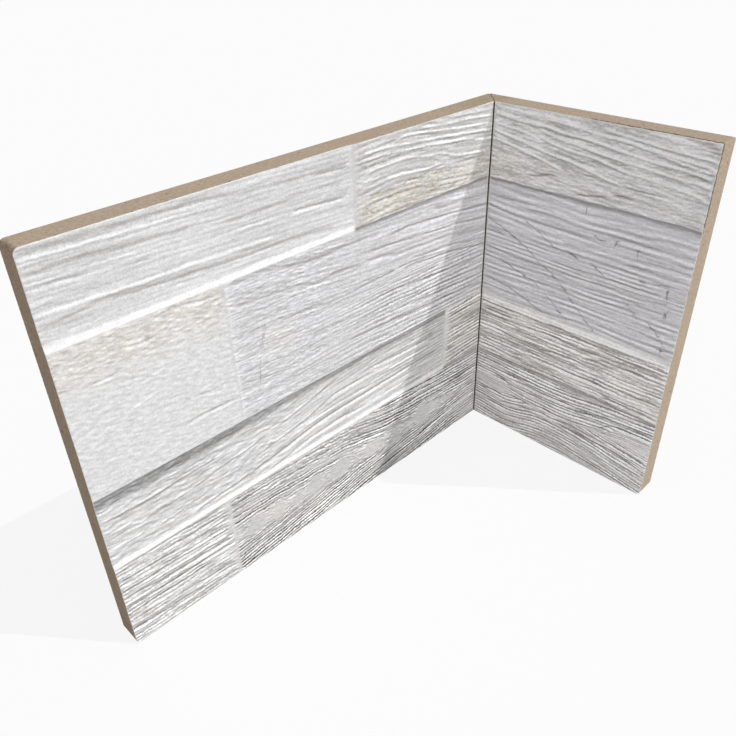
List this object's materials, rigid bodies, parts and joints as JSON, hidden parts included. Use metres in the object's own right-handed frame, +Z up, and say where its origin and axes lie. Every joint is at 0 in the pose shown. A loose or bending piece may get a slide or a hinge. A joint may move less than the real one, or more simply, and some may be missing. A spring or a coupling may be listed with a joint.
{
  "type": "wood-look corner tile",
  "caption": "Internal corner piece for wall cladding: a long and a short mitred strip of wood-look relief tile, bonded at a right angle with the plank faces inside.",
  "frame": {"origin": "on the floor, under the middle of the bounding box", "axes": "+Z up the wall, +X along the long wing towards the corner and out of the short wing's back, +Y out of the long wing's back"},
  "size_m": [0.265, 0.132, 0.2],
  "materials": {
    "tile": "matte",
    "adhesive": "matte"
  },
  "bodies": {
    "root": {"long_wing": "tile", "short_wing": "tile", "mitre_adhesive": "adhesive"}
  },
  "joints": []
}
